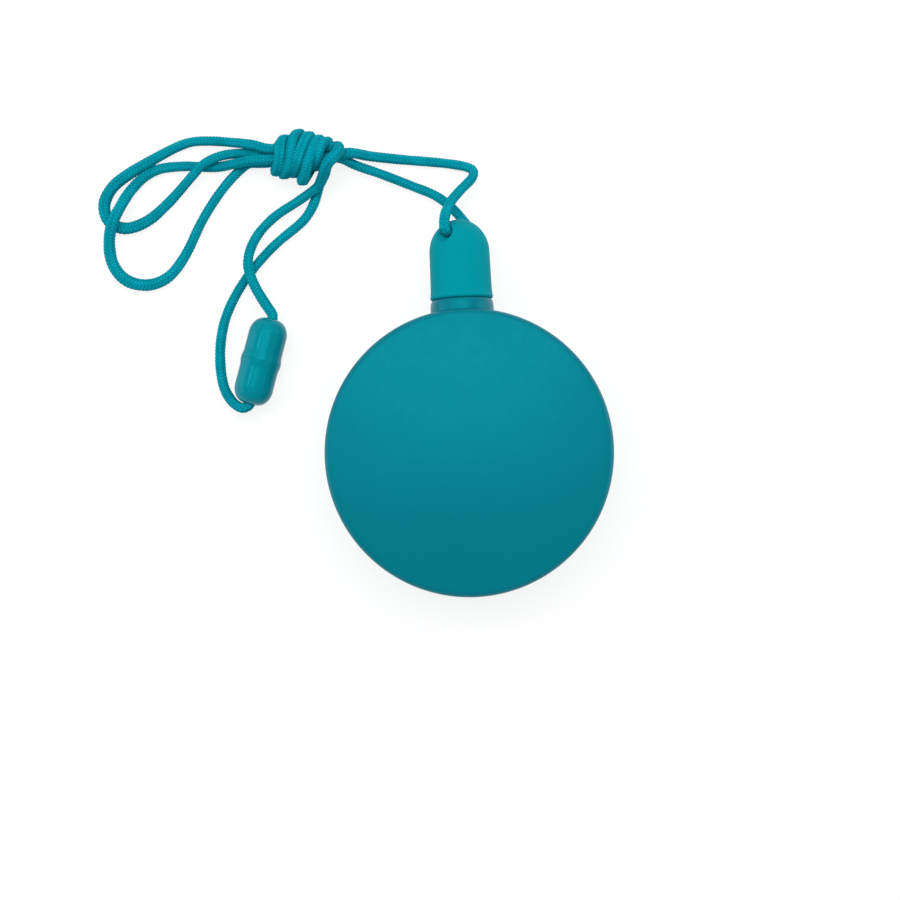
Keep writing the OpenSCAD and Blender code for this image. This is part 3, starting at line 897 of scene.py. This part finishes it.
def addLamp(name, at, aim, size, power):
    # in metres and watts
    data = bpy.data.lights.new(name, "AREA")
    data.shape = "RECTANGLE"
    data.size, data.size_y = size
    data.energy = power
    lamp = bpy.data.objects.new(name, data)
    scene.collection.objects.link(lamp)
    lamp.location = at
    lamp.rotation_mode = "QUATERNION"
    lamp.rotation_quaternion = (Vector(aim) - Vector(at)).to_track_quat("-Z", "Y")


layFloor(studio)
lightWorld(studio)
addLamp("overheadSoftbox", at=(0, 0.19, 0.75), aim=(0, 0.02, 0), size=(0.56, 0.38), power=2)
addLamp("nearSoftbox", at=(0, 0.16, 0.26), aim=(0, 0, 0.01), size=(0.4, 0.16), power=0.22)
addLamp("fillLeft", at=(-0.65, 0.05, 0.16), aim=(-0.02, 0.03, 0.01), size=(0.5, 0.3), power=0.6)
addLamp("fillRight", at=(0.65, 0.05, 0.16), aim=(0, 0.03, 0.01), size=(0.5, 0.3), power=0.7)
# narrow and level with the clasp, for the line of light along it
addLamp("stripLeft", at=(-0.32, 0.144, 0.45), aim=(-0.034, 0.057, 0), size=(0.12, 0.015), power=0.22)
print("studio ready")


# materials
def newGroup(name, inputs, outputs):
    # a node group with named sockets: (name, kind, default) in, (name, kind) out
    group = bpy.data.node_groups.new(name, "ShaderNodeTree")
    for label, kind, value in inputs:
        socket = group.interface.new_socket(label, in_out="INPUT", socket_type="NodeSocket" + kind)
        socket.default_value = value
    for label, kind in outputs:
        group.interface.new_socket(label, in_out="OUTPUT", socket_type="NodeSocket" + kind)
    return group, group.nodes.new("NodeGroupInput"), group.nodes.new("NodeGroupOutput")


def addNoise(group, where, scale, detail, rough):
    node = group.nodes.new("ShaderNodeTexNoise")
    node.inputs["Scale"].default_value = scale
    node.inputs["Detail"].default_value = detail
    node.inputs["Roughness"].default_value = rough
    group.links.new(where, node.inputs["Vector"])
    return node.outputs["Fac"]


def addRange(group, value, span, target):
    # maps a value from one span of numbers to another
    node = group.nodes.new("ShaderNodeMapRange")
    for socket, number in zip(node.inputs[1:5], (*span, *target)):
        socket.default_value = number
    group.links.new(value, node.inputs["Value"])
    return node.outputs["Result"]


def addMath(group, operation, a, b):
    node = group.nodes.new("ShaderNodeMath")
    node.operation = operation
    for socket, value in zip(node.inputs, (a, b)):
        if isinstance(value, (int, float)):
            socket.default_value = value
        else:
            group.links.new(value, socket)
    return node.outputs[0]


def addTone(group, colour, gain):
    # colour times gain
    node = group.nodes.new("ShaderNodeVectorMath")
    node.operation = "SCALE"
    group.links.new(colour, node.inputs[0])
    group.links.new(gain, node.inputs["Scale"])
    return node.outputs[0]


def addShares(group, first, second):
    # adds two values, each given with its share
    a, b = [addMath(group, "MULTIPLY", value, share) for value, share in (first, second)]
    return addMath(group, "ADD", a, b)


noiseSpan = (0.3, 0.7)  # nearly all values of a noise lie here
mouldGrain = {
    "cloudScale": 55,
    "speckScale": 900,
    "grainScale": 2600,
    "cloudTone": 0.7,
    "speckTone": 0.3,
    "speckRough": 0.06,
    "speckHeight": 0.25,
    "grainHeight": 0.35,
}


def makeMouldGroup(look):
    # moulded plastic: cloudy pigment with fine specks, and the grain of the mould
    group, given, out = newGroup(
        "mouldedSkin",
        [("Colour", "Color", (1, 1, 1, 1)), ("Roughness", "Float", 0.5), ("Mottle", "Float", 0.05)],
        [("Colour", "Color"), ("Roughness", "Float"), ("Height", "Float")],
    )
    where = group.nodes.new("ShaderNodeTexCoord").outputs["Object"]
    cloud = addNoise(group, where, look["cloudScale"], detail=3, rough=0.55)
    cloud = addRange(group, cloud, noiseSpan, (-1, 1))
    speck = addNoise(group, where, look["speckScale"], detail=2, rough=0.5)
    speck = addRange(group, speck, noiseSpan, (-1, 1))
    grain = addNoise(group, where, look["grainScale"], detail=3, rough=0.6)
    mixed = addShares(group, (cloud, look["cloudTone"]), (speck, look["speckTone"]))
    gain = addMath(group, "ADD", addMath(group, "MULTIPLY", mixed, given.outputs["Mottle"]), 1)
    group.links.new(addTone(group, given.outputs["Colour"], gain), out.inputs["Colour"])
    rub = addMath(group, "MULTIPLY", speck, look["speckRough"])
    group.links.new(addMath(group, "ADD", given.outputs["Roughness"], rub), out.inputs["Roughness"])
    height = addShares(group, (grain, look["grainHeight"]), (speck, look["speckHeight"]))
    group.links.new(height, out.inputs["Height"])
    return group


knitLook = {
    "lightFrom": 0.6,  # height of the yarn's wave from which it is fully light
    "fibreLean": 0.6,
    "fibreWave": 40,  # radians a stitch
    "fuzzScale": 3200,
    "fuzzTone": 0.08,
    "fuzzHeight": 0.4,
    "patchScale": 260,
    "patchTone": 0.1,
    "grooveRough": 0.95,
    "yarnRough": 0.75,
    "fibreHeight": 0.3,
}
mixSockets = {"a": 6, "b": 7, "result": 2}  # colour sockets of a Mix node


def makeKnitGroup(look):
    # knitted cord, read from its stitches: painted shade that darkens each stitch from its crown down its
    # legs into the grooves, random tone, and fine filaments
    group, given, out = newGroup(
        "knittedCord",
        [("Colour", "Color", (1, 1, 1, 1)), ("Shade", "Color", (0, 0, 0, 1)), ("Depth", "Float", 0.7)],
        [("Colour", "Color"), ("Roughness", "Float"), ("Height", "Float")],
    )
    uv = group.nodes.new("ShaderNodeUVMap")
    uv.uv_map = "stitches"
    parts = group.nodes.new("ShaderNodeSeparateXYZ")
    group.links.new(uv.outputs[0], parts.inputs[0])
    across, along = parts.outputs["X"], parts.outputs["Y"]
    x = addMath(group, "SUBTRACT", addMath(group, "MULTIPLY", addMath(group, "FRACT", across, 0), 2), 1)
    side = addMath(group, "ABSOLUTE", x, 0)
    leg = addMath(group, "ADD", along, addMath(group, "MULTIPLY", side, stitchForm["lean"]))
    wave = addMath(group, "COSINE", addMath(group, "MULTIPLY", leg, 2 * math.pi), 0)
    yarn = addRange(group, wave, (-1, look["lightFrom"]), (0, 1))
    column = addMath(group, "SUBTRACT", 1, addMath(group, "POWER", side, stitchForm["edgePower"]))
    bright = addMath(group, "MULTIPLY", yarn, column)
    fibre = addMath(group, "ADD", leg, addMath(group, "MULTIPLY", side, look["fibreLean"]))
    fibre = addMath(group, "SINE", addMath(group, "MULTIPLY", fibre, look["fibreWave"]), 0)
    fibre = addRange(group, fibre, (-1, 1), (0, 1))
    where = group.nodes.new("ShaderNodeTexCoord").outputs["Object"]
    fuzz = addNoise(group, where, look["fuzzScale"], detail=2, rough=0.6)
    patch = addNoise(group, where, look["patchScale"], detail=2, rough=0.5)
    # painted shade: the colour turns towards Shade in the grooves between stitches and at the edges of
    # the columns
    groove = addMath(group, "MULTIPLY", addMath(group, "SUBTRACT", 1, bright), given.outputs["Depth"])
    mix = group.nodes.new("ShaderNodeMix")
    mix.data_type = "RGBA"
    group.links.new(groove, mix.inputs["Factor"])
    group.links.new(given.outputs["Colour"], mix.inputs[mixSockets["a"]])
    group.links.new(given.outputs["Shade"], mix.inputs[mixSockets["b"]])
    fuzzTone = addRange(group, fuzz, noiseSpan, (-look["fuzzTone"], look["fuzzTone"]))
    patchTone = addRange(group, patch, noiseSpan, (1 - look["patchTone"], 1 + look["patchTone"]))
    tone = addMath(group, "ADD", fuzzTone, patchTone)
    group.links.new(addTone(group, mix.outputs[mixSockets["result"]], tone), out.inputs["Colour"])
    rough = addRange(group, bright, (0, 1), (look["grooveRough"], look["yarnRough"]))
    group.links.new(rough, out.inputs["Roughness"])
    height = addShares(group, (fibre, look["fibreHeight"]), (fuzz, look["fuzzHeight"]))
    group.links.new(height, out.inputs["Height"])
    return group


def makeMaterial(name, group, inputs, skinValues, bump):
    # one group feeds a principled surface; constants go straight to its sockets
    material, nodes, links = newMaterial(name)
    pattern = nodes.new("ShaderNodeGroup")
    pattern.node_tree = group
    for label, value in inputs.items():
        pattern.inputs[label].default_value = value
    skin = nodes.new("ShaderNodeBsdfPrincipled")
    for label, value in skinValues.items():
        skin.inputs[label].default_value = value
    relief = nodes.new("ShaderNodeBump")
    relief.inputs["Strength"].default_value = bump["strength"]
    relief.inputs["Distance"].default_value = bump["distance"] * mm
    links.new(pattern.outputs["Colour"], skin.inputs["Base Color"])
    links.new(pattern.outputs["Roughness"], skin.inputs["Roughness"])
    links.new(pattern.outputs["Height"], relief.inputs["Height"])
    links.new(relief.outputs[0], skin.inputs["Normal"])
    out = nodes.new("ShaderNodeOutputMaterial")
    links.new(skin.outputs[0], out.inputs["Surface"])
    return material


def paint(pieces, material):
    for piece in pieces:
        piece.data.materials.clear()
        piece.data.materials.append(material)


mouldGroup = makeMouldGroup(mouldGrain)
knitGroup = makeKnitGroup(knitLook)
tealTint = (0.02, 0.75, 0.85, 1)
bottleSkin = makeMaterial(
    "bottlePlastic", mouldGroup,
    {"Colour": (0.0012, 0.168, 0.224, 1), "Roughness": 0.34, "Mottle": 0.02},
    {"Specular IOR Level": 0.56, "Specular Tint": tealTint},
    {"strength": 0.12, "distance": 0.02},
)
capSkin = makeMaterial(
    "capPlastic", mouldGroup,
    {"Colour": (0.0012, 0.305, 0.37, 1), "Roughness": 0.5, "Mottle": 0.02},
    {"Specular IOR Level": 0.03, "Specular Tint": tealTint},
    {"strength": 0.1, "distance": 0.02},
)
claspSkin = makeMaterial(
    "claspPlastic", mouldGroup,
    {"Colour": (0.0012, 0.25, 0.314, 1), "Roughness": 0.12, "Mottle": 0.03},
    {"Specular IOR Level": 0.3, "Specular Tint": tealTint},
    {"strength": 0.03, "distance": 0.02},
)
wandSkin = makeMaterial(
    "wandPlastic", mouldGroup,
    {"Colour": (0.84, 0.82, 0.75, 1), "Roughness": 0.4, "Mottle": 0.03},
    {"Specular IOR Level": 0.5, "Subsurface Weight": 0.15, "Subsurface Scale": 0.001},
    {"strength": 0.15, "distance": 0.02},
)
sealSkin = makeMaterial(
    "sealRubber", mouldGroup,
    {"Colour": (0.67, 0.7, 0.66, 1), "Roughness": 0.7, "Mottle": 0.05},
    {"Specular IOR Level": 0.3},
    {"strength": 0.3, "distance": 0.03},
)
cordSkin = makeMaterial(
    # the Shade colour and its depth are painted shade in the grooves between the stitches
    "cordBraid", knitGroup,
    {"Colour": (0.002, 0.375, 0.478, 1), "Shade": (0.001, 0.13, 0.181, 1), "Depth": 0.6},
    {
        "Specular IOR Level": 0.05, "Specular Tint": tealTint,
        "Sheen Weight": 0.05, "Sheen Roughness": 0.5, "Sheen Tint": (0.1, 0.8, 0.9, 1),
    },
    {"strength": 0.4, "distance": 0.04},
)
paint([bottle], bottleSkin)
paint([cap], capSkin)
paint([wand], wandSkin)
paint([seal], sealSkin)
paint([claspSocket, claspPlug], claspSkin)
paint([*cordPieces.values(), *stopKnots.values()], cordSkin)
print("materials painted")


# what moves with what
riders = {
    "bottle": [bottle],
    "seal": [seal],
    "cap": [
        cap, wand, cordPieces["cordBackRun"], cordPieces["cordFrontRun"], cordPieces["cordKnotWinding"],
        cordPieces["cordClaspUpper"], stopKnots["stopKnotUpper"],
    ],
    "socket": [claspSocket],
    "lower_end": [stopKnots["stopKnotLower"]],
    "plug": [claspPlug],
}
for body, pieces in riders.items():
    for piece in pieces:
        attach(piece, body)
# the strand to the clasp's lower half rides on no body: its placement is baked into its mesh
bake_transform(cordPieces["cordClaspLower"])
